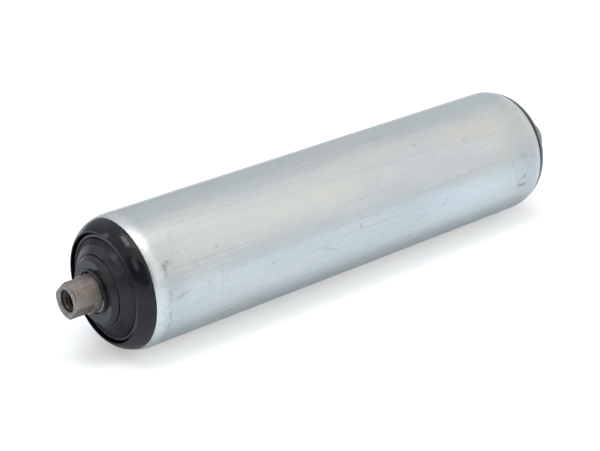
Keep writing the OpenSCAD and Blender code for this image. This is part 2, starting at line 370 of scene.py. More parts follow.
# streaks: marks drawn along the bar or tube by the dies that it was pulled through
streak_group, given, made = nodes_group(
    "drawn streaks", "ShaderNodeTree",
    {"Place": ("Vector", None), "Fineness": ("Float", 1.5), "Run": ("Float", 0.03)},
    {"Streak": ("Float", None)})
squeezed = put(streak_group, "ShaderNodeCombineXYZ", {"X": given["Run"], "Y": 1.0, "Z": 1.0})
squeezed = put(streak_group, "ShaderNodeVectorMath", {0: given["Place"], 1: squeezed},
               operation="MULTIPLY")
streak_group.links.new(put(streak_group, "ShaderNodeTexNoise", {
    "Vector": squeezed, "Scale": given["Fineness"], "Detail": 5.0, "Roughness": 0.65}),
    made["Streak"])

# specks: small separate dots, only in some of the cells that they are strewn over
speck_group, given, made = nodes_group(
    "specks", "ShaderNodeTree",
    {"Place": ("Vector", None), "Spacing": ("Float", 4.0), "Size": ("Float", 0.3),
     "Share": ("Float", 0.3)},
    {"Speck": ("Float", None)})
cells = speck_group.nodes.new("ShaderNodeTexVoronoi")
speck_group.links.new(given["Place"], cells.inputs["Vector"])
speck_group.links.new(sums(speck_group, "DIVIDE", 1.0, given["Spacing"]), cells.inputs["Scale"])
chance = put(speck_group, "ShaderNodeSeparateColor", {0: cells.outputs["Color"]})
kept = sums(speck_group, "LESS_THAN", chance, given["Share"])
reach = sums(speck_group, "DIVIDE", given["Size"], given["Spacing"])
reach = sums(speck_group, "MULTIPLY", reach, put(
    speck_group, "ShaderNodeSeparateColor", {0: cells.outputs["Color"]}, output=1))
near = sums(speck_group, "DIVIDE", cells.outputs["Distance"], sums(speck_group, "ADD", reach, 1e-4))
speck_group.links.new(sums(speck_group, "MULTIPLY", kept, fade(speck_group, near, 1.1, 0.6)),
                      made["Speck"])

# drawn steel: clouded, with thin rust, grime, bright corners and a dark bore, and painted shade that
# darkens it towards the cover's collar
steel, tree, sockets, place = finish("shaft_steel", (0.3, 0.275, 0.255), 1.0, 0.42)
drawn = effect(tree, streak_group, Place=place, Fineness=2.2, Run=0.05)
cloud = noise(tree, place, 0.22, 5.0, 0.6)
rusty = fade(tree, noise(tree, place, 0.35, 6.0, 0.68, (1, 1, 1), (7, 3, 1)), 0.5, 0.68)
worn = effect(tree, wear_group, Place=place, Reach=0.09, Patch_size=0.7)
grime_and_painted_shade = effect(tree, speck_group, Place=place, Spacing=1.4, Size=0.4, Share=0.25)
to_end = sums(tree, "ABSOLUTE", split(tree, place)["X"])
in_bore = sums(tree, "MULTIPLY", fade(tree, from_axis(tree, place), 4.3, 4.1),
               fade(tree, to_end, shaft_end - 0.3, shaft_end - 0.6))
# painted shade: the bar is painted darker from 4 mm inside its end towards the cover's collar
collar_shade = fade(tree, to_end, shaft_end - 4, shaft_end - 10, 0.0, 0.4)
colour = tint(tree, fade(tree, drawn, 0.25, 0.75), (0.2, 0.18, 0.17), (0.37, 0.342, 0.325))
colour = tint(tree, collar_shade, colour, (0.15, 0.14, 0.135))
colour = tint(tree, fade(tree, cloud, 0.35, 0.7, 0, 0.6), colour, (0.27, 0.225, 0.195))
colour = tint(tree, sums(tree, "MULTIPLY", rusty, 0.55), colour, (0.2, 0.11, 0.07))
colour = tint(tree, sums(tree, "MULTIPLY", grime_and_painted_shade, 0.35), colour, (0.08, 0.06, 0.05))
colour = tint(tree, sums(tree, "MULTIPLY", worn, 0.5), colour, (0.48, 0.45, 0.43))
colour = tint(tree, sums(tree, "MULTIPLY", in_bore, 0.8), colour, (0.07, 0.045, 0.032))
tree.links.new(colour, sockets["Base Color"])
dull = sums(tree, "MAXIMUM", rusty, sums(tree, "MULTIPLY", in_bore, 0.7))
tree.links.new(fade(tree, dull, 0, 1, 0.92, 0.4), sockets["Metallic"])
rough = sums(tree, "ADD", fade(tree, drawn, 0.3, 0.7, 0.36, 0.48), sums(tree, "MULTIPLY", rusty, 0.15))
tree.links.new(rough, sockets["Roughness"])
grain = sums(tree, "ADD", drawn, sums(tree, "MULTIPLY", noise(tree, place, 3.0, 4.0), 0.5))
bumped(tree, grain, 0.03, sockets, 0.8)

dress(shaft, "shaft_assembly", steel, "shaft_steel", "shaft")
turns = (shaft_end - 0.35 - thread_floor) / thread_pitch
for side, sign in SIDES.items():
    thread = grown(f"shaft_thread_{side}", ridge_tree, Turns=turns, Pitch=thread_pitch * MM,
                   Root=thread_root * MM, Height=(thread_root - thread_crest) * MM,
                   Start=(sign * thread_floor * MM, 0, 0), Facing=(0, sign * math.pi / 2, 0),
                   Material=steel)
    dress(thread, "shaft_assembly", steel, "shaft_steel")

# ---- ball bearings ----
# A deep groove ball bearing in each end: two ground steel rings, nine balls in a moulded snap
# cage, and two rubber seals pressed into the outer ring.

ground, tree, sockets, place = finish("bearing_steel", (0.56, 0.57, 0.58), 1.0, 0.24)
rings = put(tree, "ShaderNodeCombineXYZ", {
    "X": split(tree, place)["X"], "Y": from_axis(tree, place)})
rings = noise(tree, rings, 9.0, 3.0, 0.6)
tree.links.new(tint(tree, rings, (0.46, 0.47, 0.48), (0.66, 0.67, 0.68)), sockets["Base Color"])
tree.links.new(fade(tree, rings, 0.3, 0.7, 0.18, 0.32), sockets["Roughness"])
bumped(tree, rings, 0.004, sockets, 0.5)

polished, tree, sockets, place = finish("ball_steel", (0.7, 0.71, 0.72), 1.0, 0.08)
film = noise(tree, place, 0.9, 3.0)
tree.links.new(tint(tree, film, (0.62, 0.62, 0.62), (0.76, 0.77, 0.78)), sockets["Base Color"])
tree.links.new(fade(tree, film, 0.3, 0.7, 0.05, 0.14), sockets["Roughness"])

cage_nylon, tree, sockets, place = finish("cage_plastic", (0.62, 0.53, 0.33), 0.0, 0.45)
grease = fade(tree, noise(tree, place, 0.5, 4.0), 0.4, 0.7)
tree.links.new(tint(tree, grease, (0.66, 0.57, 0.37), (0.44, 0.34, 0.17)), sockets["Base Color"])
tree.links.new(fade(tree, grease, 0, 1, 0.5, 0.2), sockets["Roughness"])
bumped(tree, noise(tree, place, 5.0, 2.0), 0.01, sockets, 0.5)

rubber, tree, sockets, place = finish("seal_rubber", (0.022, 0.021, 0.02), 0.0, 0.6)
bloom = noise(tree, place, 0.8, 5.0, 0.6)
tree.links.new(tint(tree, bloom, (0.014, 0.014, 0.014), (0.045, 0.043, 0.04)), sockets["Base Color"])
tree.links.new(fade(tree, bloom, 0.3, 0.7, 0.5, 0.72), sockets["Roughness"])
bumped(tree, noise(tree, place, 6.0, 3.0), 0.012, sockets, 0.6)

for node, material in (("bearing_outer_ring", ground), ("bearing_inner_ring", ground),
                       ("bearing_balls", polished), ("ball_cage", cage_nylon),
                       ("front_seal", rubber), ("rear_seal", rubber)):
    paint(node, material)

# ---- bearing housings ----
# A black moulding in each end of the tube: a rounded glossy rim, a sleeve that fits the tube, and
# a ribbed seat that the bearing is pressed into.

tube_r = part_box("tube")[1].z / MM
wall = 1.5
roll_r = 11.0
roll_len = 4.25
roll_at = lip - roll_len
roll_centre = tube_r - roll_r
lip_back = 0.2
lip_turn = math.degrees(math.asin((roll_len - lip_back) / roll_r))
lip_radius = roll_centre + roll_r * math.cos(math.radians(lip_turn))
rim_edge = 20.8
rim_arc = 10.0
rim_bore_r = 20.25
labyrinth_r = 17.2
back_stop_r = 13.0
bearing_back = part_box("rear_seal_right")[0].x / MM - 0.25
bearing_front = bearing_back + 9.0
seat_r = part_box("bearing_outer_ring_right")[1].z / MM
seat_wall_r = seat_r + 1.9
housing_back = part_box("bearing_housing_right")[0].x / MM
seat_back = housing_back + 6
pocket_floor = lip - 1.0
web_back = lip - 4.25
sleeve_r = tube_r - wall - 1.8
rib_count = 12
rib_thin, rib_thick = 1.05, 1.4


def arc(centre, radius, start, end, pieces):
    """Points of an arc in the section, by angles from the radial line."""
    turns = [math.radians(start + (end - start) * k / pieces) for k in range(pieces + 1)]
    return [(centre[0] + radius * math.sin(t), centre[1] + radius * math.cos(t), 0) for t in turns]


rolled = (roll_at, roll_centre)
rim_rise, rim_drop = rim_proud + lip_back, lip_radius - rim_edge
rim_half = math.degrees(math.asin(math.hypot(rim_rise, rim_drop) / 2 / rim_arc))
rim_facing = math.degrees(math.atan2(rim_drop, rim_rise))
rim_centre = (rim_front - rim_arc * math.sin(math.radians(rim_facing + rim_half)),
              rim_edge - rim_arc * math.cos(math.radians(rim_facing + rim_half)))
rim = arc(rim_centre, rim_arc, rim_facing - rim_half, rim_facing + rim_half, 16)
# round the moulding: sleeve under the rolled tube end, rim, pocket for the cover, bearing seat,
# then back along the seat's outer wall and the web to the sleeve
housing_section = [
    *arc(rolled, roll_r - wall, 0, lip_turn, 6), (rim[0][0] + 0.02, rim[0][1] - 0.04, 0.1),
    *rim[1:-2], (rim[-1][0], rim[-1][1], 0.45),
    (rim_front, rim_bore_r, 0.12), (pocket_floor, rim_bore_r, 0.3), (pocket_floor, labyrinth_r, 0.15),
    (bearing_front, labyrinth_r, 0.1), (bearing_front, seat_r, 0.15), (bearing_back, seat_r, 0.1),
    (bearing_back, back_stop_r, 0.2), (seat_back, back_stop_r, 0.2), (seat_back, seat_wall_r, 0.4),
    (web_back, seat_wall_r, 0.6), (web_back, sleeve_r, 0.6), (housing_back, sleeve_r, 0.15),
    (housing_back, tube_r - wall - 0.5, 0.1), (housing_back + 0.8, tube_r - wall, 0.2),
]

# the ribs between seat and sleeve are a little thinner towards the inside of the roller
rib_tree, given, made = nodes_group(
    "housing ribs", "GeometryNodeTree",
    {"Count": ("Int", 12), "Inner radius": ("Float", 0.01), "Outer radius": ("Float", 0.02),
     "Middle": ("Float", 0.0), "Length": ("Float", 0.01), "Thick at low end": ("Float", 0.001),
     "Thick at high end": ("Float", 0.001), "Material": ("Material", None)},
    {"Geometry": ("Geometry", None)})
span = sums(rib_tree, "SUBTRACT", given["Outer radius"], given["Inner radius"])
rib = put(rib_tree, "GeometryNodeMeshCube", {
    "Size": put(rib_tree, "ShaderNodeCombineXYZ", {"X": given["Length"], "Y": span, "Z": 1.0}),
    "Vertices X": 8, "Vertices Y": 4, "Vertices Z": 2})
spot = split(rib_tree, put(rib_tree, "GeometryNodeInputPosition"))
thick = put(rib_tree, "ShaderNodeMapRange", {
    "Value": sums(rib_tree, "DIVIDE", spot["X"], given["Length"]), "From Min": -0.5,
    "From Max": 0.5, "To Min": given["Thick at low end"], "To Max": given["Thick at high end"]})
rib = put(rib_tree, "GeometryNodeSetPosition", {
    "Geometry": rib, "Position": put(rib_tree, "ShaderNodeCombineXYZ", {
        "X": spot["X"], "Y": spot["Y"], "Z": sums(rib_tree, "MULTIPLY", spot["Z"], thick)})})
rib = put(rib_tree, "GeometryNodeTransform", {
    "Geometry": rib, "Translation": put(rib_tree, "ShaderNodeCombineXYZ", {
        "X": given["Middle"],
        "Y": sums(rib_tree, "ADD", given["Inner radius"], sums(rib_tree, "MULTIPLY", span, 0.5))})})
hubs = put(rib_tree, "GeometryNodeMeshLine", {"Count": given["Count"], "Offset": (0, 0, 0)})
spoke = sums(rib_tree, "DIVIDE", put(rib_tree, "GeometryNodeInputIndex"), given["Count"])
spoke = put(rib_tree, "ShaderNodeCombineXYZ", {"X": sums(rib_tree, "MULTIPLY", spoke, math.tau)})
ribs = put(rib_tree, "GeometryNodeInstanceOnPoints", {"Points": hubs, "Instance": rib, "Rotation": spoke})
ribs = put(rib_tree, "GeometryNodeRealizeInstances", {"Geometry": ribs})
rib_tree.links.new(put(rib_tree, "GeometryNodeSetMaterial", {
    "Geometry": ribs, "Material": given["Material"]}), made["Geometry"])

# dust: a thin film that gathers in soft patches
dust_group, given, made = nodes_group(
    "dust", "ShaderNodeTree",
    {"Place": ("Vector", None), "Patch size": ("Float", 0.12), "Amount": ("Float", 0.3)},
    {"Dusty": ("Float", None)})
patches = put(dust_group, "ShaderNodeTexNoise", {
    "Vector": given["Place"], "Scale": given["Patch size"], "Detail": 6.0, "Roughness": 0.65})
motes = put(dust_group, "ShaderNodeTexNoise", {"Vector": given["Place"], "Scale": 4.0, "Detail": 2.0})
film = sums(dust_group, "MULTIPLY", fade(dust_group, patches, 0.4, 0.7),
            fade(dust_group, motes, 0.3, 0.7, 0.5, 1.0))
dust_group.links.new(sums(dust_group, "MULTIPLY", film, given["Amount"]), made["Dusty"])

gloss_black, tree, sockets, place = finish("housing_plastic", (0.007, 0.0075, 0.01), 0.0, 0.12)
sockets["Specular IOR Level"].default_value = 0.38
dusty = effect(tree, dust_group, Place=place, Patch_size=0.16, Amount=0.3)
worn = effect(tree, wear_group, Place=place, Reach=0.06, Patch_size=0.5)
colour = tint(tree, dusty, (0.0065, 0.0065, 0.0105), (0.028, 0.028, 0.034))
tree.links.new(tint(tree, sums(tree, "MULTIPLY", worn, 0.2), colour, (0.06, 0.06, 0.065)),
               sockets["Base Color"])
tree.links.new(sums(tree, "ADD", fade(tree, noise(tree, place, 0.3, 3.0), 0.3, 0.7, 0.08, 0.16),
                    sums(tree, "MULTIPLY", dusty, 0.5)), sockets["Roughness"])
skin = sums(tree, "ADD", sums(tree, "MULTIPLY", noise(tree, place, 0.16, 2.0), 8.0),
            sums(tree, "MULTIPLY", noise(tree, place, 4.0, 2.0), 0.08))
bumped(tree, skin, 0.02, sockets, 1.0)

for side, sign in SIDES.items():
    housing = turned(f"bearing_housing_{side}_moulding",
                     [(sign * x, r) for x, r in rounded(housing_section)], all_round(256))
    dress(housing, "roller", gloss_black, "housing_plastic", f"bearing_housing_{side}")
    low, high = (rib_thin, rib_thick) if sign > 0 else (rib_thick, rib_thin)
    back, front = seat_back + 1, web_back - 0.5
    ribs = grown(f"bearing_housing_{side}_ribs", rib_tree, **{
        "Count": rib_count, "Inner radius": (seat_r + 1.7) * MM, "Outer radius": (sleeve_r + 0.3) * MM,
        "Middle": sign * (back + front) / 2 * MM, "Length": (front - back) * MM,
        "Thick at low end": low * MM, "Thick at high end": high * MM, "Material": gloss_black})
    dress(ribs, "roller", gloss_black, "housing_plastic")

# ---- labyrinth rings ----
# A black moulded ring with two skirts, pressed into the housing in front of the bearing. The end
# cover's own skirts turn between them and keep dust out.

dull_black, tree, sockets, place = finish("labyrinth_plastic", (0.07, 0.07, 0.075), 0.0, 0.5)
dusty = effect(tree, dust_group, Place=place, Patch_size=0.3, Amount=0.5)
tree.links.new(tint(tree, dusty, (0.06, 0.06, 0.065), (0.16, 0.155, 0.15)), sockets["Base Color"])
tree.links.new(fade(tree, dusty, 0, 0.5, 0.42, 0.65), sockets["Roughness"])
bumped(tree, noise(tree, place, 5.0, 3.0), 0.01, sockets, 0.6)
paint("labyrinth_ring", dull_black)

# ---- tube ----
# The shell of the roller: thin welded steel tube, zinc plated, with both ends rolled in over the
# housings. The plating is mottled, drawn lengthwise, and marked by handling near its ends.

lip_edge = arc(rolled, roll_r, 0, lip_turn, 8)
lip_edge[-1] = (lip_edge[-1][0], lip_edge[-1][1], 0.22)
lip_inside = arc(rolled, roll_r - wall, lip_turn, 0, 8)
lip_inside[0] = (lip_inside[0][0], lip_inside[0][1], 0.15)
tube_half = lip_edge + lip_inside
straight = [roll_at * k / 6 for k in range(-5, 6)]
tube_section = [(x, tube_r, 0) for x in straight] + tube_half
tube_section += [(-x, tube_r - wall, 0) for x in straight]
tube_section += [(-x, r, f) for x, r, f in reversed(tube_half)]
tube = turned("tube_shell", rounded(tube_section), all_round(320))

# a mark: one soft-edged smudge or scratch, at a station and an angle on the tube
mark_group, given, made = nodes_group(
    "mark", "ShaderNodeTree",
    {"Along": ("Float", 0.0), "Round": ("Float", 0.0), "Ragged": ("Float", 0.5),
     "Station": ("Float", 0.0), "Angle": ("Float", 0.0), "Slant": ("Float", 0.0),
     "Half length": ("Float", 1.0), "Half width": ("Float", 1.0), "Strength": ("Float", 0.5)},
    {"Mark": ("Float", None)})
right = sums(mark_group, "SUBTRACT", given["Along"], given["Station"])
down = sums(mark_group, "MULTIPLY", math.radians(1) * tube_r,
            sums(mark_group, "SUBTRACT", given["Round"], given["Angle"]))
slant = sums(mark_group, "RADIANS", given["Slant"])
cosine, sine = sums(mark_group, "COSINE", slant), sums(mark_group, "SINE", slant)
run = sums(mark_group, "ADD", sums(mark_group, "MULTIPLY", right, cosine),
           sums(mark_group, "MULTIPLY", down, sine))
side_step = sums(mark_group, "SUBTRACT", sums(mark_group, "MULTIPLY", down, cosine),
                 sums(mark_group, "MULTIPLY", right, sine))
run = sums(mark_group, "POWER", sums(mark_group, "DIVIDE", run, given["Half length"]), 2.0)
side_step = sums(mark_group, "POWER", sums(mark_group, "DIVIDE", side_step, given["Half width"]), 2.0)
out = sums(mark_group, "SQRT", sums(mark_group, "ADD", run, side_step))
out = sums(mark_group, "ADD", out, given["Ragged"])
mark_group.links.new(sums(mark_group, "MULTIPLY", given["Strength"], fade(mark_group, out, 1.5, 0.2)),
                     made["Mark"])

# scratches: thin broken lines, closer together where the place is squeezed
scratch_group, given, made = nodes_group(
    "scratches", "ShaderNodeTree",
    {"Place": ("Vector", None), "Squeeze": ("Vector", None), "Width": ("Float", 0.02),
     "Share": ("Float", 0.5)},
    {"Scratch": ("Float", None)})
squeezed = put(scratch_group, "ShaderNodeVectorMath", {0: given["Place"], 1: given["Squeeze"]},
               operation="MULTIPLY")
wavy = put(scratch_group, "ShaderNodeTexNoise", {"Vector": squeezed, "Scale": 1.0, "Detail": 2.0})
line = sums(scratch_group, "ABSOLUTE", sums(scratch_group, "SUBTRACT", wavy, 0.5))
line = fade(scratch_group, sums(scratch_group, "DIVIDE", line, given["Width"]), 1.0, 0.3)
breaks = put(scratch_group, "ShaderNodeTexNoise", {"Vector": given["Place"], "Scale": 0.22,
                                                  "Detail": 3.0})
breaks = sums(scratch_group, "LESS_THAN", breaks, given["Share"])
scratch_group.links.new(sums(scratch_group, "MULTIPLY", line, breaks), made["Scratch"])

# zinc plate: bluish and yellowish areas, mottled and streaked, and lighter where the ends are rolled,
# which is burnish from the rolling and a painted highlight
zinc, tree, sockets, place = finish("zinc_plate", (0.62, 0.66, 0.69), 1.0, 0.32)
along, rear, up = split(tree, place)
half_turn = sums(tree, "ARCTAN2", sums(tree, "MULTIPLY", up, -1.0), sums(tree, "MULTIPLY", rear, -1.0))
around = sums(tree, "ADD", sums(tree, "DEGREES", half_turn), 180.0)
to_end = sums(tree, "ABSOLUTE", along)


def mark_at(ragged, angle, station, half_length, half_width, strength, slant=0.0):
    """A mark on the tube: its angle round the axis and slant in degrees, the rest in millimetres."""
    return effect(tree, mark_group, Along=along, Round=around, Ragged=ragged, Station=station,
                  Angle=angle, Slant=slant, Half_length=half_length, Half_width=half_width,
                  Strength=strength)


streak = effect(tree, streak_group, Place=place, Fineness=0.9, Run=0.03)
hair = effect(tree, streak_group, Place=place, Fineness=3.5, Run=0.02)
mottle = noise(tree, place, 1.0, 5.0, 0.6, stretch=(0.05, 0.14, 0.14), offset=(4, 1, 9))
spangle = noise(tree, place, 0.9, 4.0, 0.6)
hue = noise(tree, place, 1.0, 3.0, 0.5, stretch=(0.02, 0.07, 0.07), offset=(31, 8, 2))
yellow = noise(tree, place, 1.0, 4.0, 0.6, stretch=(0.035, 0.09, 0.09), offset=(2, 17, 5))

colour = tint(tree, fade(tree, hue, 0.35, 0.65), (0.62, 0.668, 0.696), (0.66, 0.688, 0.684))
colour = tint(tree, fade(tree, yellow, 0.5, 0.72, 0, 0.6), colour, (0.675, 0.694, 0.648))
colour = tint(tree, fade(tree, mottle, 0.3, 0.7, 0.25, 0.0), colour, (0.50, 0.54, 0.555))
colour = tint(tree, fade(tree, streak, 0.35, 0.65, 0.18, 0.0), colour, (0.46, 0.50, 0.52))
colour = tint(tree, fade(tree, spangle, 0.4, 0.7, 0.0, 0.06), colour, (0.8, 0.83, 0.84))
# painted highlight: the rolled ends are painted lighter, partly for the burnish that rolling leaves
colour = tint(tree, fade(tree, to_end, 91.5, 94.5, 0.0, 0.5), colour, (0.82, 0.845, 0.855))

# larger patches: angle, station, half length, half width, strength, colour. The light band at 138° is a
# painted highlight and the blue patch at 186° a painted reflection of the floor; the warm patch at 122°
# and the grey ones at 165° and 156° are just tinted warmer or darker
patches = [(138, -36, 50, 6, 0.5, (0.73, 0.755, 0.71)), (186, 60, 26, 9, 0.5, (0.67, 0.74, 0.79)),
           (122, 66, 22, 5, 0.3, (0.68, 0.655, 0.59)), (165, 90, 10, 30, 0.5, (0.5, 0.53, 0.55)),
           (156, -88, 5, 12, 0.35, (0.5, 0.53, 0.55))]
soft = sums(tree, "MULTIPLY", sums(tree, "SUBTRACT", noise(tree, place, 0.12, 4.0, 0.6), 0.5), 1.5)
for *patch, cast in patches:
    colour = tint(tree, mark_at(soft, *patch), colour, cast)

# the weld seam and the die lines: angle, station, half length, half width, strength
ragged = sums(tree, "MULTIPLY", sums(tree, "SUBTRACT", noise(tree, place, 1.3, 4.0, 0.6), 0.5), 2.4)
lines = [
    (153.5, -72, 20, 0.35, 0.32), (158.5, -50, 40, 0.9, 0.14), (149.5, 10, 26, 0.3, 0.16),
    (134.5, 62, 30, 0.35, 0.2), (176.0, 4, 16, 0.25, 0.32), (127.0, -10, 60, 0.8, 0.1),
    (163.0, 30, 45, 0.8, 0.12), (168.0, -40, 45, 0.6, 0.1), (98.0, 40, 50, 0.9, 0.1),
    (20.0, 0, 70, 0.5, 0.3), (258.0, 10, 60, 0.5, 0.25), (310.0, -20, 55, 0.5, 0.25),
]
# smudges and scratches: angle, station, half length, half width, strength, slant
marks = [
    (149.5, -91.2, 1.0, 2.2, 0.85, 10), (147.0, -89.5, 1.5, 0.9, 0.7, -20), (155, -91.5, 0.7, 1.4, 0.6, 0),
    (176, -86.5, 4.0, 1.0, 0.4, -14), (171, -91.0, 0.9, 1.6, 0.45, 0), (176, -91.2, 0.7, 1.2, 0.4, 0),
    (192, -91.4, 0.4, 2.4, 0.6, 0), (202, -91.5, 0.35, 2.6, 0.6, 0), (213, -91.4, 0.5, 2.6, 0.6, 0),
    (137, -80.5, 0.3, 5.0, 0.25, 3), (139, -76.0, 0.25, 3.5, 0.22, -4), (168, -68.6, 0.3, 8.0, 0.24, 2),
    (147.3, -68.2, 0.6, 0.5, 0.7, 0), (173.5, -74.5, 0.8, 0.5, 0.55, 20), (86, -20.0, 0.5, 2.2, 0.6, 22),
    (177, -46.0, 0.4, 0.35, 0.55, 0), (128, -29.0, 2.0, 0.8, 0.2, 8), (163, -3.4, 0.35, 2.6, 0.28, -24),
    (173, -3.0, 0.9, 1.2, 0.5, 40), (184, -18.0, 4.0, 0.35, 0.4, 18), (180, -20.0, 2.6, 0.3, 0.3, -14),
    (188, -14.5, 3.2, 0.28, 0.3, -10), (132.6, 41.0, 1.2, 0.9, 0.25, 0), (180, 41.0, 0.6, 1.9, 0.36, 30),
    (186, 29.5, 0.8, 0.5, 0.55, 20), (130, 59.5, 1.8, 0.9, 0.32, -30), (163, 86.5, 3.0, 1.2, 0.2, 8),
    (172, 80.6, 6.4, 0.35, 0.3, 72), (183.5, 86.5, 1.4, 1.1, 0.6, 0), (192, 86.0, 3.2, 0.8, 0.75, 2),
    (189, 83.6, 0.5, 1.8, 0.4, 20), (70, 30.0, 2.5, 0.5, 0.3, 60), (240, -60.0, 3.0, 0.6, 0.3, 30),
    (300, 84.0, 1.2, 3.0, 0.4, 0), (20, -88.0, 0.8, 4.0, 0.4, 0), (330, -30.0, 6.0, 0.4, 0.35, 12),
]
dark = 0.0
for mark in lines + marks:
    dark = sums(tree, "MAXIMUM", dark, mark_at(ragged, *mark))
dark = sums(tree, "MULTIPLY", dark, fade(tree, noise(tree, place, 1.7, 4.0, 0.7), 0.38, 0.6, 0.3, 1.2))

specks = effect(tree, speck_group, Place=place, Spacing=4.5, Size=0.4, Share=0.45)
pores = effect(tree, speck_group, Place=place, Spacing=1.6, Size=0.2, Share=0.35)
long_scratch = effect(tree, scratch_group, Place=place, Squeeze=(0.03, 0.5, 0.5), Width=0.006,
                      Share=0.46)
round_scratch = effect(tree, scratch_group, Place=place, Squeeze=(0.55, 0.03, 0.03), Width=0.008,
                       Share=0.5)
near_end = fade(tree, to_end, 55, 92)
round_scratch = sums(tree, "MULTIPLY", round_scratch, fade(tree, near_end, 0, 1, 0.15, 0.8))
soot = fade(tree, noise(tree, place, 0.45, 6.0, 0.7), 0.5, 0.72, 0, 0.5)
soot = sums(tree, "MULTIPLY", fade(tree, to_end, 84, 94), soot)
fine = sums(tree, "MAXIMUM", sums(tree, "MULTIPLY", long_scratch, 0.35), round_scratch)
fine = sums(tree, "MAXIMUM", sums(tree, "MULTIPLY", fine, 0.5), sums(tree, "MULTIPLY", pores, 0.35))
fine = sums(tree, "MAXIMUM", fine, sums(tree, "MULTIPLY", specks, 0.7))
dirt = sums(tree, "MAXIMUM", sums(tree, "MAXIMUM", dark, soot), fine)
colour = tint(tree, sums(tree, "MULTIPLY", dirt, 0.6), colour, (0.12, 0.115, 0.115))
rust_spot = mark_at(ragged, 120.5, 35.0, 0.9, 0.5, 0.4)
colour = tint(tree, rust_spot, colour, (0.45, 0.22, 0.04))
tree.links.new(colour, sockets["Base Color"])
tree.links.new(fade(tree, dirt, 0.0, 1.0, 1.0, 0.5), sockets["Metallic"])
rough = sums(tree, "ADD", fade(tree, streak, 0.3, 0.7, 0.23, 0.29),
             fade(tree, mottle, 0.3, 0.7, 0.03, -0.02))
rough = sums(tree, "ADD", rough, fade(tree, to_end, 90.5, 94.0, 0.0, 0.03))
tree.links.new(sums(tree, "ADD", rough, sums(tree, "MULTIPLY", dirt, 0.25)), sockets["Roughness"])
ripple = noise(tree, place, 1.0, 2.0, stretch=(0.015, 0.08, 0.08), offset=(9, 9, 9))
swell = bumped(tree, ripple, 0.25, sockets, 1.0)
texture = sums(tree, "ADD", sums(tree, "MULTIPLY", hair, 0.7), sums(tree, "MULTIPLY", spangle, 0.5))
texture = sums(tree, "SUBTRACT", texture, sums(tree, "MULTIPLY", dirt, 0.6))
bumped(tree, texture, 0.005, sockets, 0.8, under=swell)
dress(tube, "roller", zinc, "zinc_plate", "tube")

# ---- end covers ----
# A satin black moulding that stands still on the shaft: fine rings round a shallow cone, a plain
# raised panel, a flat hub, and a low collar round the retaining ring.

cone_foot, cone_top = (4.25, 18.5), (7.35, 13.0)
cone_rise = (cone_top[0] - cone_foot[0]) / (cone_foot[1] - cone_top[1])
band_r = 19.6
hub_face, hub_r = 9.5, 11.5
collar_top, collar_r, collar_bore_r = 10.2, 8.4, 7.8
clip_floor = 9.3
core_back, core_r = -11.0, 7.5
core_step, core_wide_r = -2.0, 9.4
skirt_end, skirt_thick = 0.3, 1.0
skirt_r = 14.6

# the fine rings: radii, how many run all the way round, depth, and their V section
ring_at = [17.9 - 0.66 * i for i in range(7)]
full_rings = 3
ring_depth = 0.32
dips = ((-0.2, 0.0), (-0.12, 0.55), (0.0, 1.0), (0.12, 0.55), (0.2, 0.0))
rings_from, rings_to = 141.0, 360.0

# the panel: height, radii and angles. Angles run from the rear over the top, in degrees. Rings and
# panel blend into the cone over an angle and a width.
panel_rise = 0.15
panel_inner, panel_outer = 13.7, 16.12
panel_from, panel_to = 4.0, 137.0
angle_blend, width_blend = 0.8, 0.12


def step(value, at, width):
    """Rises from 0 to 1 round a value."""
    t = min(1.0, max(0.0, (value - at) / width + 0.5))
    return t * t * (3 - 2 * t)


def cone(r):
    """Station of the cone's surface at a radius, outwards from the lip of the tube."""
    return cone_foot[0] + (cone_foot[1] - r) * cone_rise


def patterned(x, r, angle):
    """Cuts the fine rings into the cone, and raises the plain panel where they stop."""
    out = abs(x) - lip
    if not cone_top[1] + 0.3 < r < cone_foot[1] - 0.2 or out < cone(r) - 0.3:
        return x, r
    in_rings = step(angle, rings_from, angle_blend)
    in_rings *= 1 - step(angle, rings_to - angle_blend, angle_blend)
    in_panel = step(angle, panel_from, angle_blend) * (1 - step(angle, panel_to, angle_blend))
    in_panel *= step(r, panel_inner, width_blend) * (1 - step(r, panel_outer, width_blend))
    cut = 0.0
    for i, at in enumerate(ring_at):
        for (d0, f0), (d1, f1) in zip(dips, dips[1:]):
            if at + d0 <= r <= at + d1:
                depth = f0 + (f1 - f0) * (r - at - d0) / (d1 - d0)
                cut = max(cut, depth if i < full_rings else depth * in_rings)
    out += in_panel * panel_rise - cut * ring_depth
    return math.copysign(lip + out, x), r


face_radii = {round(at + d, 3) for at in ring_at for d, _ in dips}
face_radii |= {round(at + d, 3) for at in (panel_inner, panel_outer) for d in (-0.07, -0.03, 0.03, 0.07)}

# outer band, foot of the cone, cone, the line between cone and hub, hub, collar
cover_front = [
    (-0.3, band_r, 0.15), (cone_foot[0], band_r, 0.4), (cone_foot[0], 18.55, 0.08), (4.05, 18.42, 0.05),
    (4.2, 18.3, 0.08), *[(cone(r), r, 0) for r in sorted(face_radii, reverse=True) if r < 18.2],
    (7.27, 13.2, 0.04), (6.8, 13.08, 0.04), (6.8, 12.95, 0.04), (7.75, 12.85, 0.16),
    (hub_face, hub_r, 0.15), (hub_face, collar_r, 0.08), (collar_top, collar_r - 0.05, 0.12),
    (collar_top + 0.05, collar_bore_r, 0.12), (clip_floor, collar_bore_r, 0.1), (clip_floor, shaft_r, 0),
]

